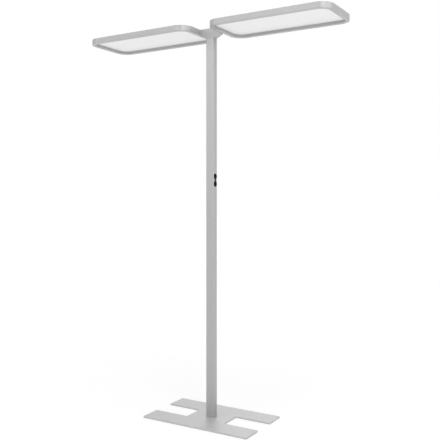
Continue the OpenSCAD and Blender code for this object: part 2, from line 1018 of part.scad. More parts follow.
// Uplight boards on the floor of the rim, each with a row of emitters that shine upwards
module uplight_boards(side) {
    count = floor(uplight_board_l / emitter_pitch);
    color("khaki")
        in_head(side)
            window_spots() {
                translate([-uplight_board_l / 2, -uplight_board_w / 2, floor_t])
                    cube([uplight_board_l, uplight_board_w, board_t]);
                for (i = [0 : count - 1])
                    translate([
                        (i - (count - 1) / 2) * emitter_pitch - up_emitter[0] / 2,
                        -up_emitter[1] / 2,
                        floor_t + board_t - eps
                    ])
                        cube(up_emitter);
            }
}

module top_cover(side) {
    color("silver")
        in_head(side)
            difference() {
                head_sheet(frame_wall + cover_gap, cover_z, head_t);
                for (spot = boss_spots)
                    translate([spot[0], spot[1], head_t])
                        flat_screw_hole(cover_screw, cover_t);
                window_spots()
                    translate([0, 0, cover_z - 1])
                        linear_extrude(cover_t + 2)
                            square([window_l + 2 * window_fit, window_w + 2 * window_fit], center = true);
            }
}

// Clear bars that stand on the back plate and end flush with the cover
module uplight_windows(side) {
    color("azure")
        in_head(side)
            window_spots()
                translate([-window_l / 2, -window_w / 2, foam_z])
                    cube([window_l, window_w, head_t - foam_z]);
}

module cover_screws(side) {
    color("silver")
        in_head(side)
            for (spot = boss_spots)
                translate([spot[0], spot[1], head_t])
                    flat_screw(cover_screw, cover_t + cover_screw_grip);
}

// Steel plate behind the frame's inner end wall, which the screws from the bridge pull tight
module mount_plate(side) {
    color("darkgray")
        on_side(side)
            difference() {
                translate([head_gap / 2 + frame_wall, -mount_plate_w / 2, head_z + floor_t])
                    cube([mount_plate_t, mount_plate_w, mount_plate_h]);
                for (y = [-1, 1])
                    translate([head_gap / 2, y * head_screw_y, arm_axis_z])
                        rotate([0, 90, 0])
                            cylinder(h = mount_plate_t + 10, d = head_screw[0] + 2 * screw_fit);
                translate([head_gap / 2, 0, arm_axis_z])
                    rotate([0, 90, 0])
                        cylinder(h = mount_plate_t + 10, d = cable_hole_d);
            }
}

module head_screws(side) {
    color("dimgray")
        on_side(side)
            head_screw_spots()
                cap_screw(head_screw, trough_end + frame_wall + mount_plate_t);
}

module head_connector(side) {
    color("whitesmoke")
        on_side(side)
            translate([head_gap / 2 + frame_wall + mount_plate_t + connector_gap, 0, head_z + floor_t])
                translate([0, -connector_size[1] / 2, 0])
                    cube(connector_size);
}

base_plate();
base_glides();
base_screws();
foot_block();
foot_screws();
post();
cord_gland();
gland_nut();
terminal_block();
mains_leads();
driver(driver_low_z);  // driver_lower
driver(driver_high_z);  // driver_upper
control_leads();
control_bezel();
switch_carrier();
switch_board();
switch_bodies();
button(1);  // button_upper
button(-1);  // button_lower
plunger(1);  // plunger_upper
plunger(-1);  // plunger_lower
bridge();
bridge_lid();
lid_screws();
spigot_screws();
head_cables();
head_frame(left);  // head_frame_left
head_frame(right);  // head_frame_right
diffuser(left);  // diffuser_left
diffuser(right);  // diffuser_right
light_guide(left);  // light_guide_left
light_guide(right);  // light_guide_right
reflector(left);  // reflector_left
reflector(right);  // reflector_right
led_strips(left);  // led_strips_left
led_strips(right);  // led_strips_right
back_plate(left);  // back_plate_left
back_plate(right);  // back_plate_right
foam_strips(left);  // foam_strips_left
foam_strips(right);  // foam_strips_right
uplight_boards(left);  // uplight_boards_left
uplight_boards(right);  // uplight_boards_right
top_cover(left);  // top_cover_left
top_cover(right);  // top_cover_right
uplight_windows(left);  // uplight_windows_left
uplight_windows(right);  // uplight_windows_right
cover_screws(left);  // cover_screws_left
cover_screws(right);  // cover_screws_right
mount_plate(left);  // mount_plate_left
mount_plate(right);  // mount_plate_right
head_screws(left);  // head_screws_left
head_screws(right);  // head_screws_right
head_connector(left);  // head_connector_left
head_connector(right);  // head_connector_right
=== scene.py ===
import json
import math

import bpy
import numpy as np
from mathutils.geometry import tessellate_polygon
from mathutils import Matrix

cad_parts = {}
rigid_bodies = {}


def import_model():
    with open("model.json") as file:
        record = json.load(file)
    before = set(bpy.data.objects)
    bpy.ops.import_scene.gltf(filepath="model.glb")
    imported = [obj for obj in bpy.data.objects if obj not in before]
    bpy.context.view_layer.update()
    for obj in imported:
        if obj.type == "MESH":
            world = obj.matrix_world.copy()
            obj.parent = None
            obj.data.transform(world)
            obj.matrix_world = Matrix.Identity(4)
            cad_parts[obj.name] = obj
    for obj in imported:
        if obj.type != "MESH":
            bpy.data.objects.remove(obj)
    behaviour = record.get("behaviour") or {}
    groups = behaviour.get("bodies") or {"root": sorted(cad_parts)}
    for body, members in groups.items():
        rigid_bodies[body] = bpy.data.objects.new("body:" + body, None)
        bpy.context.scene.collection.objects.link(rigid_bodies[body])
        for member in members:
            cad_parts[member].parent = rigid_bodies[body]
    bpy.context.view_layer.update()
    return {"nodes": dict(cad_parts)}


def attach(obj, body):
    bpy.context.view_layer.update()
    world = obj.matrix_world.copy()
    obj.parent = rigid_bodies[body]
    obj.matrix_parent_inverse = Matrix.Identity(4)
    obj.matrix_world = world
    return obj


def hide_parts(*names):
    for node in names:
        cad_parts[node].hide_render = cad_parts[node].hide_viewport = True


for left_over in list(bpy.data.objects):
    bpy.data.objects.remove(left_over)
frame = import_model()


# The studio. The camera stands 3.3 m from the post, to the right of its front, a little below
# the buttons. The floor and the backdrop look white to it, while the light that they throw on
# the lamp stays at a plain level.

studio = bpy.context.scene
studio.view_settings.view_transform = "Standard"

camera = bpy.data.objects.new("camera", bpy.data.cameras.new("camera"))
camera.data.lens = 53.75
camera.data.shift_y = -0.0445
camera.location = (1.7327, -2.7992, 1.0909)
camera.rotation_euler = (math.radians(90), 0, math.radians(31.02))
studio.collection.objects.link(camera)
studio.camera = camera


def seen_directly(nodes, links):
    """1 for a ray from the camera or from a gloss or a clear piece, and 0 for one that carries
    light."""
    path = nodes.new("ShaderNodeLightPath")
    kinds = ["Is Camera Ray", "Is Glossy Ray", "Is Transmission Ray"]
    found = path.outputs[kinds[0]]
    for kind in kinds[1:]:
        either = nodes.new("ShaderNodeMath")
        either.operation = "MAXIMUM"
        links.new(found, either.inputs[0])
        links.new(path.outputs[kind], either.inputs[1])
        found = either.outputs[0]
    return found


def between(nodes, links, factor, low, high):
    """What runs from low to high as the factor runs from 0 to 1. High may be a socket."""
    ramp = nodes.new("ShaderNodeMapRange")
    links.new(factor, ramp.inputs["Value"])
    ramp.inputs["To Min"].default_value = low
    if isinstance(high, bpy.types.NodeSocket):
        links.new(high, ramp.inputs["To Max"])
    else:
        ramp.inputs["To Max"].default_value = high
    return ramp.outputs["Result"]


white = 1.0
sky_light = 0.12
sky = bpy.data.worlds.new("backdrop")
sky.use_nodes = True
studio.world = sky
sky_nodes, sky_links = sky.node_tree.nodes, sky.node_tree.links
backdrop = sky_nodes["Background"]
backdrop.inputs["Color"].default_value = (1, 1, 1, 1)
sky_links.new(
    between(sky_nodes, sky_links, seen_directly(sky_nodes, sky_links), sky_light, white),
    backdrop.inputs["Strength"],
)

# The floor's glow as the camera sees it makes up for what the overhead lamp no longer gives at
# the distance r, whose share is 1 / (1 + (r / height)^2)^2, so the floor is as white far off as
# near, and the object's shadow stays on it. Its light on the object is a value of its own.
overhead_height = 7.0
floor_half = 40
floor_light, far_glow, near_glow = 0.6, 0.96, 0.5
floor_mesh = bpy.data.meshes.new("floor")
floor_mesh.from_pydata(
    [(x * floor_half, y * floor_half, 0) for x, y in ((-1, -1), (1, -1), (1, 1), (-1, 1))],
    [], [(0, 1, 2, 3)],
)
floor = bpy.data.objects.new("floor", floor_mesh)
studio.collection.objects.link(floor)
floor_paint = bpy.data.materials.new("floor")
floor_paint.use_nodes = True
floor_nodes, floor_links = floor_paint.node_tree.nodes, floor_paint.node_tree.links
floor_face = floor_nodes["Principled BSDF"]
floor_face.inputs["Base Color"].default_value = (0.62, 0.62, 0.62, 1)
floor_face.inputs["Roughness"].default_value = 1.0
floor_face.inputs["Specular IOR Level"].default_value = 0.0
floor_face.inputs["Emission Color"].default_value = (1, 1, 1, 1)
floor_reach = floor_nodes.new("ShaderNodeMapping")
floor_reach.inputs["Scale"].default_value = [1 / overhead_height] * 3
floor_square = floor_nodes.new("ShaderNodeVectorMath")
floor_square.operation = "DOT_PRODUCT"
overhead_share = floor_nodes.new("ShaderNodeMath")
overhead_share.operation = "POWER"
overhead_share.inputs[1].default_value = -2
floor_place = floor_nodes.new("ShaderNodeTexCoord")
floor_links.new(floor_place.outputs["Object"], floor_reach.inputs["Vector"])
for factor in (0, 1):
    floor_links.new(floor_reach.outputs["Vector"], floor_square.inputs[factor])
one_more = floor_nodes.new("ShaderNodeMath")
one_more.inputs[1].default_value = 1
floor_links.new(floor_square.outputs["Value"], one_more.inputs[0])
floor_links.new(one_more.outputs["Value"], overhead_share.inputs[0])
floor_glow = between(
    floor_nodes, floor_links, overhead_share.outputs["Value"], far_glow, near_glow
)
floor_links.new(
    between(
        floor_nodes, floor_links, seen_directly(floor_nodes, floor_links), floor_light, floor_glow
    ),
    floor_face.inputs["Emission Strength"],
)
floor_mesh.materials.append(floor_paint)


post_middle = (0, 0, 1.0)


def softbox(name, place, power, size=2.4):
    """A square soft lamp at place that faces the middle of the post."""
    lamp = bpy.data.objects.new(name, bpy.data.lights.new(name, "AREA"))
    lamp.data.size = size
    lamp.data.energy = power
    lamp.location = place
    away = np.array(place, float) - np.array(post_middle)
    lamp.rotation_euler = (
        math.atan2(math.hypot(away[0], away[1]), away[2]),
        0,
        math.atan2(away[0], -away[1]),
    )
    studio.collection.objects.link(lamp)


softbox("overhead_lamp", (0, 0, overhead_height), 250, size=6.0)
softbox("right_front_lamp", (3.2, -2.8, 2.7), 54)
softbox("right_lamp", (4.0, 0.2, 2.9), 34)
softbox("front_lamp", (-0.6, -3.8, 3.6), 32)
softbox("left_front_lamp", (-2.8, -2.9, 2.7), 13)
softbox("back_lamp", (-1.6, 4.2, 2.6), 22)


# The base plate: 8 mm steel cut to an H, so that its two notches pass round a desk's leg. Its
# edges are broken, and the whole plate has a fine-textured silver-grey powder coat. Two screws
# go up through countersinks on its underside into the foot of the post.

plate_half = (0.295, 0.175)
notch_half = 0.060
crosspiece_half = 0.1075
plate_corner, notch_corner = 0.005, 0.006
plate_low, plate_high = 0.002, 0.010
plate_screw_x = 0.011
plate_screw_bore, countersink_reach = 0.00405, 0.00355


def rounded_outline(corners, steps=8):
    """A closed outline that runs straight between rounded corners.

    Each row of corners is x, y and r. A corner's arc starts r * tan(turn / 2) before the corner,
    where turn is the angle between its two sides, and its middle lies r to the side that the
    outline turns to. Given anticlockwise the outline bounds a plate, and clockwise a hole in one.
    Returns the points and the unit vectors that point away from the material, a row each."""
    rows = np.array(corners, float)
    corner, radius = rows[:, :2], rows[:, 2:]
    before = corner - np.roll(corner, 1, axis=0)
    after = np.roll(before, -1, axis=0)
    before = before / np.linalg.norm(before, axis=1, keepdims=True)
    after = after / np.linalg.norm(after, axis=1, keepdims=True)
    crossed = before[:, 0] * after[:, 1] - before[:, 1] * after[:, 0]
    turn = np.arctan2(crossed, (before * after).sum(axis=1))[:, None]
    side = np.sign(turn)
    to_left = np.stack([-before[:, 1], before[:, 0]], axis=1)
    middle = corner - before * radius * np.tan(abs(turn) / 2) + side * radius * to_left
    start = np.arctan2(-side[:, 0] * to_left[:, 1], -side[:, 0] * to_left[:, 0])[:, None]
    angle = start + turn * np.linspace(0, 1, steps + 1)
    ray = np.stack([np.cos(angle), np.sin(angle)], axis=2)
    points = middle[:, None] + radius[:, None] * ray
    return points.reshape(-1, 2), (side[:, None] * ray).reshape(-1, 2)


def carried(rim, section, closed=False):
    """A section carried round an outline.

    The point (inset, height) of the section lies at outline - inset * away, at that height, and
    each four neighbouring points make a face. A closed section also joins its last row to its
    first. Returns the points, one section row after another, and the faces."""
    outline, away = rim
    inset, height = np.array(section, float).T
    rows, count = len(inset), len(outline)
    flat = outline[None] - inset[:, None, None] * away[None]
    lift = np.broadcast_to(height[:, None, None], (rows, count, 1))
    points = np.concatenate([flat, lift], axis=2).reshape(-1, 3)
    row = np.arange(rows if closed else rows - 1)[:, None] * count
    here = np.arange(count)
    there = np.roll(here, -1)
    above = (row + count) % (rows * count)
    faces = np.stack([row + here, row + there, above + there, above + here], axis=2)
    return points, faces.reshape(-1, 4).tolist()


def edge_arc(radius, height, start, end, steps=5):
    """Section of a rounded edge: inset = r - r * cos(a) and height = height + r * sin(a), for the
    angle a from start to end in degrees."""
    angle = np.radians(np.linspace(start, end, steps + 1))
    return np.stack([radius - radius * np.cos(angle), height + radius * np.sin(angle)], axis=1)


def plate_edge(low, high, low_radius, high_radius):
    """Section of a plate's rim, from its underside to its top, with both edges rounded."""
    return np.concatenate([
        edge_arc(low_radius, low + low_radius, -90, 0),
        edge_arc(high_radius, high - high_radius, 0, 90),
    ])


def round_hole(x, y, radius):
    """Clockwise outline of a round hole: a square whose corners are rounded into a circle."""
    r = radius
    return rounded_outline(
        [(x - r, y - r, r), (x - r, y + r, r), (x + r, y + r, r), (x + r, y - r, r)], 7
    )


def pierced_plate(rims):
    """A flat plate with holes. Each rim is an outline and its section, the plate's own first.

    The sections run from the plate's underside to its top. Their first rows bound the underside
    and their last rows the top, and both faces are filled between the rims."""
    points, faces, bottoms, tops, start = [], [], [], [], 0
    for rim, section in rims:
        wall, quads = carried(rim, section)
        count = len(rim[0])
        points.append(wall)
        faces += (np.array(quads) + start).tolist()
        bottoms.append(start + np.arange(count))
        tops.append(start + len(wall) - count + np.arange(count))
        start += len(wall)
    points = np.concatenate(points)
    for rings, order in ((bottoms, -1), (tops, 1)):
        index = np.concatenate(rings)
        filled = tessellate_polygon([[tuple(points[i]) for i in ring] for ring in rings])
        triangles = index[np.array(filled)]
        a, b, c = points[triangles[:, 0]], points[triangles[:, 1]], points[triangles[:, 2]]
        turned = np.sign(np.cross(b - a, c - a)[:, 2]) != order
        triangles[turned] = triangles[turned][:, ::-1]
        faces += triangles.tolist()
    return points, faces


def finished(name, parts, material, body="root", nodes=(), sharp=35):
    """Joins parts, each a pair of points and faces, into one smooth-shaded piece of the lamp.

    Edges that turn by more than sharp degrees stay crisp, and the large flat faces set the shading
    of what borders on them. The piece takes the material, rides on the body and stands for the CAD
    nodes."""
    points, faces, start = [], [], 0
    for part_points, part_faces in parts:
        points.append(np.asarray(part_points, float))
        faces += [[corner + start for corner in face] for face in part_faces]
        start += len(part_points)
    mesh = bpy.data.meshes.new(name)
    mesh.from_pydata(np.concatenate(points).tolist(), [], faces)
    mesh.polygons.foreach_set("use_smooth", np.ones(len(faces), bool))
    mesh.set_sharp_from_angle(angle=math.radians(sharp))
    mesh.materials.append(material)
    piece = bpy.data.objects.new(name, mesh)
    studio.collection.objects.link(piece)
    shading = piece.modifiers.new("flat_faces_first", "WEIGHTED_NORMAL")
    shading.keep_sharp = True
    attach(piece, body)
    if nodes:
        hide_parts(*nodes)
    return piece


def noise(nodes, links, spacing, stretch=(1, 1, 1), detail=2.0):
    """A cloudy pattern on the piece's own coordinates whose spots are about spacing metres wide,
    drawn out along an axis where stretch is above 1. It runs from 0 to 1 around 0.5."""
    coords = nodes.new("ShaderNodeTexCoord")
    scaled = nodes.new("ShaderNodeMapping")
    scaled.inputs["Scale"].default_value = [1 / (spacing * s) for s in stretch]
    cloud = nodes.new("ShaderNodeTexNoise")
    cloud.inputs["Scale"].default_value = 1.0
    cloud.inputs["Detail"].default_value = detail
    links.new(coords.outputs["Object"], scaled.inputs["Vector"])
    links.new(scaled.outputs["Vector"], cloud.inputs["Vector"])
    return cloud.outputs["Fac"]


def cells(nodes, links, spacing):
    """Grains about spacing metres wide with a random tone each, from 0 to 1."""
    coords = nodes.new("ShaderNodeTexCoord")
    grain = nodes.new("ShaderNodeTexVoronoi")
    grain.inputs["Scale"].default_value = 1 / spacing
    links.new(coords.outputs["Object"], grain.inputs["Vector"])
    tone = nodes.new("ShaderNodeSeparateColor")
    links.new(grain.outputs["Color"], tone.inputs["Color"])
    return tone.outputs["Red"]


def toned(nodes, links, factor, colour, spread):
    """The colour, darker by the share spread at factor 0 and lighter by it at factor 1."""
    mix = nodes.new("ShaderNodeMix")
    mix.data_type = "RGBA"
    links.new(factor, mix.inputs["Factor"])
    ends = [socket for socket in mix.inputs if socket.type == "RGBA"]
    for end, level in zip(ends, (1 - spread, 1 + spread)):
        end.default_value = [min(1.0, channel * level) for channel in colour] + [1]
    return [socket for socket in mix.outputs if socket.type == "RGBA"][0]


def blended(nodes, links, first, second, share):
    """first * (1 - share) + second * share, of two patterns."""
    mix = nodes.new("ShaderNodeMix")
    mix.inputs["Factor"].default_value = share
    links.new(first, mix.inputs["A"])
    links.new(second, mix.inputs["B"])
    return mix.outputs["Result"]


def relief(nodes, links, height, depth):
    """Bump whose hills stand depth metres over its valleys."""
    bump = nodes.new("ShaderNodeBump")
    bump.inputs["Strength"].default_value = 1.0
    bump.inputs["Distance"].default_value = depth
    links.new(height, bump.inputs["Height"])
    return bump.outputs["Normal"]


def new_finish(name, metal=0.0, coat=0.0):
    """A material with its Principled shader, and its nodes and links."""
    material = bpy.data.materials.new(name)
    material.use_nodes = True
    nodes, links = material.node_tree.nodes, material.node_tree.links
    shader = nodes["Principled BSDF"]
    shader.inputs["Metallic"].default_value = metal
    shader.inputs["Coat Weight"].default_value = coat
    return material, nodes, links, shader


def powder_coat(name, colour, grit, depth, rough):
    """Metallic powder coat: fine flakes of slightly different tone, a cloudy film thickness over
    a hand's width, and the small hills of a sprayed and baked coat, about grit metres wide."""
    material, nodes, links, shader = new_finish(name, metal=0.3)
    flakes = cells(nodes, links, grit * 0.35)
    film = noise(nodes, links, 0.09)
    hills = noise(nodes, links, grit, detail=3.0)
    tone = blended(nodes, links, flakes, film, 0.45)
    links.new(toned(nodes, links, tone, colour, 0.11), shader.inputs["Base Color"])
    links.new(between(nodes, links, hills, rough - 0.09, rough + 0.09), shader.inputs["Roughness"])
    links.new(relief(nodes, links, hills, depth), shader.inputs["Normal"])
    return material


plate_coat = powder_coat("plate_powder_coat", (0.52, 0.52, 0.52), 0.0009, 0.00007, 0.5)

plate_rim = rounded_outline([
    (-plate_half[0], -plate_half[1], plate_corner),
    (plate_half[0], -plate_half[1], plate_corner),
    (plate_half[0], -notch_half, plate_corner),
    (crosspiece_half, -notch_half, notch_corner),
    (crosspiece_half, notch_half, notch_corner),
    (plate_half[0], notch_half, plate_corner),
    (plate_half[0], plate_half[1], plate_corner),
    (-plate_half[0], plate_half[1], plate_corner),
    (-plate_half[0], notch_half, plate_corner),
    (-crosspiece_half, notch_half, notch_corner),
    (-crosspiece_half, -notch_half, notch_corner),
    (-plate_half[0], -notch_half, plate_corner),
])
countersink = [
    (countersink_reach, plate_low), (0, plate_low + countersink_reach), (0, plate_high),
]
finished(
    "steel_base_plate",
    [pierced_plate(
        [(plate_rim, plate_edge(plate_low, plate_high, 0.0005, 0.0012))]
        + [
            (round_hole(x, 0, plate_screw_bore), countersink)
            for x in (-plate_screw_x, plate_screw_x)
        ]
    )],
    plate_coat, nodes=["base_plate"],
)


# What holds the plate and the post together: four moulded glides pinned into the plate's
# underside, two zinc-plated countersunk screws, the sawn aluminium block in the post's foot,
# and the two button-head screws through the post's back wall.


def moulded(name, colour, texture=0.0006, depth=0.00002, rough=0.5, gloss=0.5):
    """Moulded plastic with the fine even texture of an eroded mould and a faintly cloudy tone."""
    material, nodes, links, shader = new_finish(name)
    shader.inputs["Specular IOR Level"].default_value = gloss
    skin = noise(nodes, links, texture, detail=3.0)
    cloud = noise(nodes, links, 0.02)
    links.new(toned(nodes, links, cloud, colour, 0.08), shader.inputs["Base Color"])
    links.new(between(nodes, links, skin, rough - 0.08, rough + 0.08), shader.inputs["Roughness"])
    links.new(relief(nodes, links, skin, depth), shader.inputs["Normal"])
    return material


def bare_metal(name, colour, lines, along, depth, rough):
    """Bare or plated metal with a pattern lines metres apart, drawn out along the axis that along
    names, or along none where it is empty."""
    material, nodes, links, shader = new_finish(name, metal=1.0)
    stretch = [60 if axis == along else 1 for axis in "xyz"]
    drawn = noise(nodes, links, lines, stretch, detail=4.0)
    cloud = noise(nodes, links, 0.03)
    tone = blended(nodes, links, drawn, cloud, 0.5)
    links.new(toned(nodes, links, tone, colour, 0.08), shader.inputs["Base Color"])
    links.new(between(nodes, links, drawn, rough - 0.1, rough + 0.1), shader.inputs["Roughness"])
    links.new(relief(nodes, links, drawn, depth), shader.inputs["Normal"])
    return material


def show(material, *nodes):
    """Gives CAD nodes whose shape is right as it is their material."""
    for name in nodes:
        mesh = frame["nodes"][name].data
        mesh.materials.clear()
        mesh.materials.append(material)


zinc = bare_metal("zinc_plated_steel", (0.62, 0.62, 0.63), 0.0004, "", 0.000008, 0.32)
show(moulded("glide_plastic", (0.1, 0.1, 0.1)), "base_glides")
show(zinc, "base_screws", "foot_screws")
show(bare_metal("sawn_aluminium", (0.7, 0.7, 0.71), 0.0005, "x", 0.00003, 0.42), "foot_block")


# The post: an extruded aluminium profile, 44 by 34 mm with 2 mm walls, cut to length and satin
# anodised. The die leaves faint lines along it.


def satin_anodised(name, colour):
    """Etched and anodised extrusion: fine die lines along Z, an etch texture of about 0.25 mm, and
    a slow change of tone along the bar."""
    material, nodes, links, shader = new_finish(name, metal=0.35)
    die_lines = noise(nodes, links, 0.0011, (1, 1, 700), detail=4.0)
    etch = noise(nodes, links, 0.00025, detail=2.0)
    slow = noise(nodes, links, 0.12, (1, 1, 3))
    tone = blended(nodes, links, die_lines, slow, 0.35)
    skin = blended(nodes, links, die_lines, etch, 0.4)
    links.new(toned(nodes, links, tone, colour, 0.12), shader.inputs["Base Color"])
    links.new(between(nodes, links, skin, 0.3, 0.54), shader.inputs["Roughness"])
    links.new(relief(nodes, links, skin, 0.00003), shader.inputs["Normal"])
    return material


show(satin_anodised("satin_anodised", (0.448, 0.448, 0.448)), "post")


# The cord inlet: a moulded gland low on the back of the post, its collar outside and its
# hexagonal nut inside. Its bore takes a round mains cord of about 7 mm.

inlet_height = 0.080
post_back = 0.017


def turned(profile, steps=48):
    """A profile turned round Z: the point (radius, height) becomes the circle
    (radius * cos(a), radius * sin(a), height). A row of zero radius closes to one point."""
    radius, height = np.array(profile, float).T
    angle = np.linspace(0, 2 * np.pi, steps, endpoint=False)
    ring = np.stack([np.cos(angle), np.sin(angle)], axis=1)
    points, rows = [], []
    for r, z in zip(radius, height):
        start = sum(len(p) for p in points)
        if r > 0:
            points.append(np.column_stack([r * ring, np.full(steps, z)]))
            rows.append(start + np.arange(steps))
        else:
            points.append(np.array([[0, 0, z]]))
            rows.append(np.full(steps, start))
    faces = []
    for low, high in zip(rows[:-1], rows[1:]):
        strip = np.stack([low, np.roll(low, -1), np.roll(high, -1), high], axis=1)
        if low[0] == low[1]:
            strip = strip[:, [0, 2, 3]]
        elif high[0] == high[1]:
            strip = strip[:, :3]
        faces += strip.tolist()
    return np.concatenate(points), faces


def placed(part, axes, origin):
    """Moves a part so that its X, Y and Z run along the three axes and its own origin lies at
    origin."""
    points, faces = part
    return points @ np.array(axes, float) + np.array(origin, float), faces


# A turned piece's own X, Y and Z axes where its Z points out of the post's back
out_of_back = [(1, 0, 0), (0, 0, -1), (0, 1, 0)]
gland_profile = [
    (0.0036, -0.007), (0.0058, -0.007), (0.0060, -0.0068), (0.0060, 0), (0.0095, 0),
    (0.0095, 0.0019), (0.0092, 0.0026), (0.0086, 0.0030), (0.0050, 0.0030), (0.0042, 0.0028),
    (0.0036, 0.0022), (0.0036, -0.007),
]
gland_plastic = moulded("gland_plastic", (0.09, 0.09, 0.09), rough=0.45)
finished(
    "cord_gland_collar",
    [placed(turned(gland_profile), out_of_back, (0, post_back, inlet_height))],
    gland_plastic, nodes=["cord_gland"],
)
show(gland_plastic, "gland_nut")


# The electrics inside the post: the supply terminals on the foot block, their leads, and two
# slim drivers in the profile's rails. Nothing of them shows from outside.


def sheathed(name, colour):
    """Smooth cable sheath with the faint length-wise waviness of the leads inside it."""
    material, nodes, links, shader = new_finish(name)
    wave = noise(nodes, links, 0.0015, (1, 1, 14))
    links.new(toned(nodes, links, wave, colour, 0.06), shader.inputs["Base Color"])
    links.new(between(nodes, links, wave, 0.38, 0.5), shader.inputs["Roughness"])
    links.new(relief(nodes, links, wave, 0.00003), shader.inputs["Normal"])
    return material


white_sheath = sheathed("white_cable_sheath", (0.8, 0.8, 0.79))
grey_sheath = sheathed("grey_cable_sheath", (0.1, 0.1, 0.1))
white_housing = moulded("white_housing", (0.84, 0.84, 0.83), 0.0008, 0.00003, 0.48)
show(white_housing, "terminal_block", "driver_lower", "driver_upper")
show(white_sheath, "mains_leads")
show(grey_sheath, "control_leads")


# The push-button module, set into the post's right-hand face: a black moulded surround with a
# ring for each button, and behind it the carrier, the board, and the two sprung switches.

control_height = 1.192
button_offset = 0.019
face_x = 0.022
ring_front = 0.0012
ring_radius, ring_neck, ring_bore = 0.0140, 0.0127, 0.0115
ring_edge, bore_edge = 0.0005, 0.0003
opening_depth = 0.002

black_moulding = moulded("black_moulding", (0.004, 0.004, 0.004), 0.0004, 0.000015, 0.62, 0.06)
# A turned piece's own X, Y and Z axes where its Z points out of the post's right-hand face
out_of_face = [(0, 0, -1), (0, 1, 0), (1, 0, 0)]


def surround_strip():
    """The strip between the two rings, with its front edges rounded. It lies a hair under them."""
    half_width, half_length, corner = 0.0060, 0.0075, 0.0003
    rim = rounded_outline([
        (-half_length, -half_width, corner), (half_length, -half_width, corner),
        (half_length, half_width, corner), (-half_length, half_width, corner),
    ], 2)
    return pierced_plate([(rim, plate_edge(0, ring_front - 0.0002, 0.0001, 0.0004))])


ring_profile = [
    (ring_bore, -opening_depth), (ring_neck, -opening_depth), (ring_neck, 0), (ring_radius, 0),
]
ring_profile += [
    (ring_radius - inset, height)
    for inset, height in edge_arc(ring_edge, ring_front - ring_edge, 0, 90, 4)
]
ring_profile += [
    (ring_bore + inset, height)
    for inset, height in edge_arc(bore_edge, ring_front - bore_edge, 90, 0, 3)
]
ring_profile += [(ring_bore, -opening_depth)]
rings = [
    placed(turned(ring_profile, 64), out_of_face, (face_x, 0, control_height + z))
    for z in (-button_offset, button_offset)
]
peg = turned(
    [(0, -0.0077), (0.0023, -0.0077), (0.0025, -0.0075), (0.0025, 0.0002), (0, 0.0002)], 24
)
finished(
    "button_surround",
    rings + [
        placed(surround_strip(), out_of_face, (face_x, 0, control_height)),
        placed(peg, out_of_face, (face_x, 0, control_height)),
    ],
    black_moulding, nodes=["control_bezel"],
)


def solder_mask(name, colour):
    """Circuit board: glossy lacquer over the faint square pattern of the copper tracks."""
    material, nodes, links, shader = new_finish(name, coat=0.4)
    tracks = cells(nodes, links, 0.0024)
    links.new(toned(nodes, links, tracks, colour, 0.12), shader.inputs["Base Color"])
    links.new(between(nodes, links, tracks, 0.22, 0.34), shader.inputs["Roughness"])
    links.new(relief(nodes, links, tracks, 0.00003), shader.inputs["Normal"])
    return material


show(moulded("carrier_plastic", (0.1, 0.1, 0.1)), "switch_carrier", "switch_bodies")
show(solder_mask("green_solder_mask", (0.03, 0.15, 0.07)), "switch_board")


# The two push buttons: black moulded caps with a crowned top and a rounded edge, each with a
# collar that keeps it behind its ring and a stem that presses the switch's white plunger.

cap_front, cap_radius, crown_radius, cap_edge = 0.0247, 0.0112, 0.070, 0.0007


def button_profile():
    """Half section of a button, as radius and distance from the face of the post.

    The top is a sphere of radius c: its height falls by c - sqrt(c^2 - r^2) at the radius r. Its
    edge is a quarter circle, and the collar and the stem follow as straight steps."""
    top = cap_front - face_x
    r = np.linspace(0, cap_radius - cap_edge, 9)
    crown = np.stack([r, top - crown_radius + np.sqrt(crown_radius ** 2 - r ** 2)], axis=1)
    a = np.radians(np.linspace(15, 90, 5))
    edge = np.stack([
        cap_radius - cap_edge + cap_edge * np.sin(a),
        crown[-1, 1] - cap_edge + cap_edge * np.cos(a),
    ], axis=1)
    below = [
        (0.0112, -0.0021), (0.0121, -0.0021), (0.0121, -0.0035),
        (0.0040, -0.0035), (0.0040, -0.0075), (0.0036, -0.0077), (0, -0.0077),
    ]
    return np.concatenate([crown, edge, below])[::-1]


cap_plastic = moulded("button_cap_plastic", (0.003, 0.003, 0.003), 0.0003, 0.00001, 0.55, 0.05)
for place, z in (("upper", button_offset), ("lower", -button_offset)):
    finished(
        f"push_button_{place}",
        [placed(turned(button_profile(), 64), out_of_face, (face_x, 0, control_height + z))],
        cap_plastic, f"{place}_button", [f"button_{place}"],
    )
show(white_housing, "plunger_upper", "plunger_lower")


# The bridge: an aluminium casting whose spigot goes down into the post and whose two arms carry
# the heads. It is painted like the heads, and a flush lid covers its cable trough.

head_coat = powder_coat("silver_powder_coat", (0.42, 0.42, 0.42), 0.0007, 0.00004, 0.42)


def softened(name, node, material, edge):
    """A CAD node with its edges rounded: its loose triangles are merged into one shell, and a
    bevel edge metres wide runs along every edge that turns by more than 40 degrees."""
    source = frame["nodes"][node].data
    places = np.empty(len(source.vertices) * 3, np.float32)
    source.vertices.foreach_get("co", places)
    corners = np.empty(len(source.loops), np.int32)
    source.loops.foreach_get("vertex_index", corners)
    points, merged = np.unique(places.reshape(-1, 3).round(7), axis=0, return_inverse=True)
    faces = merged.ravel()[corners].reshape(-1, 3)
    whole = (faces != np.roll(faces, 1, axis=1)).all(axis=1)
    piece = finished(name, [(points, faces[whole].tolist())], material, nodes=[node])
    bevel = piece.modifiers.new("rounded_edges", "BEVEL")
    bevel.width = edge
    bevel.segments = 3
    bevel.limit_method = "ANGLE"
    bevel.angle_limit = math.radians(40)
    bevel.use_clamp_overlap = True
    bevel.miter_outer = "MITER_ARC"
    piece.modifiers.move(1, 0)
    return piece


softened("bridge_casting", "bridge", head_coat, 0.0006)
softened("bridge_trough_lid", "bridge_lid", head_coat, 0.0003)
show(zinc, "lid_screws", "spigot_screws")
show(white_sheath, "head_cables")


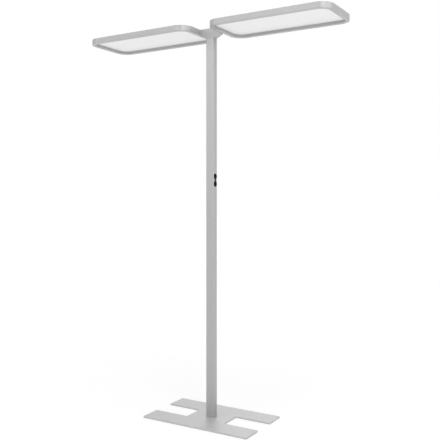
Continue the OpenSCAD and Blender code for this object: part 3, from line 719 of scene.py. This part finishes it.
# The heads' frames: aluminium castings, 628 by 310 mm with 64 mm corner radii. The outer wall,
# the rim and the inner wall that carries the light panel are one section carried round the
# head, and six bosses inside take the cover's screws.

head_middle = 0.371
head_base = 1.922
head_half = (0.314, 0.155)
head_radius = 0.064
boss_radius, boss_bore, boss_bore_depth, boss_edge = 0.0045, 0.00205, 0.009, 0.0003
boss_places = [(x * 0.304, y * 0.077) for x in (-1, 1) for y in (-1, 1)]
boss_places += [(0, -0.145), (0, 0.145)]


def head_rim(x, inset=0.0, steps=20):
    """Outline of a head at a distance inside its edge, round the middle x."""
    l, w, r = head_half[0] - inset, head_half[1] - inset, head_radius - inset
    return rounded_outline([(x - l, -w, r), (x + l, -w, r), (x + l, w, r), (x - l, w, r)], steps)


def frame_section():
    """Section of the frame as inset and height, round its corners clockwise from the outer edge:
    outer wall, its top, its inner side, the rim's floor, the inner wall, the ledge, the recess."""
    walls = [
        (0, 0, 1.5), (0, 28, 0.6), (2, 28, 0.4), (2, 2, 1.0),
        (18, 2, 1.0), (18, 14, 0.3), (20, 14, 0.4), (20, 0, 1.0),
    ]
    section, _ = rounded_outline(np.array(walls) / 1000, 5)
    return section + np.array([0, head_base])


def bosses(x):
    """The six posts for the cover's screws, from the rim's floor up to the cover."""
    low, high = head_base + 0.002, head_base + 0.026
    profile = [
        (boss_radius, low), (boss_radius, high - boss_edge), (boss_radius - boss_edge, high),
        (boss_bore, high), (boss_bore, high - boss_bore_depth), (0, high - boss_bore_depth),
    ]
    return [placed(turned(profile, 24), np.eye(3), (x + a, b, 0)) for a, b in boss_places]


for side, x in (("left", -head_middle), ("right", head_middle)):
    finished(
        f"head_casting_{side}",
        [carried(head_rim(x), frame_section(), closed=True)] + bosses(x),
        head_coat, nodes=[f"head_frame_{side}"],
    )


# The light panels: a satin opal sheet with fine lengthwise prisms on the frame's inner wall, then
# a clear light guide, a white film, the strips of emitters along both long sides, and the plate
# and the foam that the cover presses on them.

panel_low, panel_high = 1.936, 1.938
panel_inset = 0.018


def opal_sheet(name, colour):
    """Prismatic opal sheet: ridges along X about 1.5 mm apart, faint streaks, and a soft glow."""
    material, nodes, links, shader = new_finish(name)
    ridges = noise(nodes, links, 0.0015, (400, 1, 1), detail=1.0)
    streaks = noise(nodes, links, 0.012, (25, 1, 1), detail=3.0)
    tone = blended(nodes, links, ridges, streaks, 0.7)
    links.new(toned(nodes, links, tone, colour, 0.05), shader.inputs["Base Color"])
    links.new(between(nodes, links, ridges, 0.4, 0.55), shader.inputs["Roughness"])
    links.new(relief(nodes, links, ridges, 0.00004), shader.inputs["Normal"])
    shader.inputs["Emission Color"].default_value = (1, 1, 1, 1)
    shader.inputs["Emission Strength"].default_value = 0.04
    return material


opal = opal_sheet("opal_prism_sheet", (0.76, 0.76, 0.76))
for side, x in (("left", -head_middle), ("right", head_middle)):
    finished(
        f"light_panel_{side}",
        [pierced_plate([
            (head_rim(x, panel_inset), plate_edge(panel_low, panel_high, 0.0002, 0.0002))
        ])],
        opal, nodes=[f"diffuser_{side}"],
    )


def acrylic_sheet(name, rough, clear):
    """Acrylic with a lightly frosted face. It lets the share clear through and is milky beyond."""
    material, nodes, links, shader = new_finish(name)
    frost = noise(nodes, links, 0.0004, detail=2.0)
    shader.inputs["Transmission Weight"].default_value = clear
    shader.inputs["IOR"].default_value = 1.49
    links.new(toned(nodes, links, frost, (0.9, 0.91, 0.91), 0.03), shader.inputs["Base Color"])
    links.new(between(nodes, links, frost, rough - 0.05, rough + 0.05), shader.inputs["Roughness"])
    links.new(relief(nodes, links, frost, 0.00001), shader.inputs["Normal"])
    return material


guide_acrylic = acrylic_sheet("guide_acrylic", 0.12, 0.9)
window_acrylic = acrylic_sheet("window_acrylic", 0.3, 0.35)
white_film = moulded("white_film", (0.9, 0.9, 0.9), 0.0005, 0.00001, 0.6)
foam = moulded("closed_cell_foam", (0.1, 0.1, 0.1), 0.0012, 0.0001, 0.8)
emitter_board = solder_mask("white_emitter_board", (0.86, 0.86, 0.82))
rolled_sheet = bare_metal("rolled_aluminium", (0.7, 0.7, 0.71), 0.0006, "x", 0.00001, 0.36)
for side in ("left", "right"):
    show(guide_acrylic, f"light_guide_{side}")
    show(white_film, f"reflector_{side}")
    show(emitter_board, f"led_strips_{side}", f"uplight_boards_{side}")
    show(rolled_sheet, f"back_plate_{side}")
    show(foam, f"foam_strips_{side}")


# The heads' tops: a painted cover sheet, screwed down through the back plate, with four frosted
# windows for the light to the ceiling. The cover lies inside the frame's wall with a fine gap.

cover_low, cover_high = 1.948, 1.950
cover_inset = 0.0022
window_hole = (0.2163, 0.0103)
window_places = [(x * 0.1155, y * 0.145) for x in (-1, 1) for y in (-1, 1)]


def oblong_hole(x, y, size, radius=0.0002):
    """Clockwise outline of an oblong hole of the size (length, width) round (x, y)."""
    l, w = size[0] / 2, size[1] / 2
    corners = [(x - l, y - w), (x - l, y + w), (x + l, y + w), (x + l, y - w)]
    return rounded_outline([(*corner, radius) for corner in corners], 2)


def straight_edge(low, high):
    """Section of a hole's wall with a broken upper edge."""
    return [(0, low), (0, high - 0.0002), (0.0002, high)]


sink_reach, sink_foot, sink_head = 0.00175, 0.00025, 0.00195
cover_sink = [
    (0, cover_low), (0, cover_low + sink_foot),
    (sink_reach, cover_low + sink_head), (sink_reach, cover_high),
]
for side, x in (("left", -head_middle), ("right", head_middle)):
    rims = [(head_rim(x, cover_inset), plate_edge(cover_low, cover_high, 0.0002, 0.0004))]
    rims += [
        (oblong_hole(x + a, b, window_hole), straight_edge(cover_low, cover_high))
        for a, b in window_places
    ]
    rims += [(round_hole(x + a, b, boss_bore), cover_sink) for a, b in boss_places]
    finished(
        f"head_cover_{side}", [pierced_plate(rims)],
        head_coat, nodes=[f"top_cover_{side}"],
    )
    show(window_acrylic, f"uplight_windows_{side}")
    show(zinc, f"cover_screws_{side}")


# The heads' fixing: from the bridge's trough two screws go through each frame's end wall into a
# zinc-plated steel plate behind it, beside the connector block of the cable.

for side in ("left", "right"):
    show(zinc, f"mount_plate_{side}", f"head_screws_{side}")
    show(white_housing, f"head_connector_{side}")
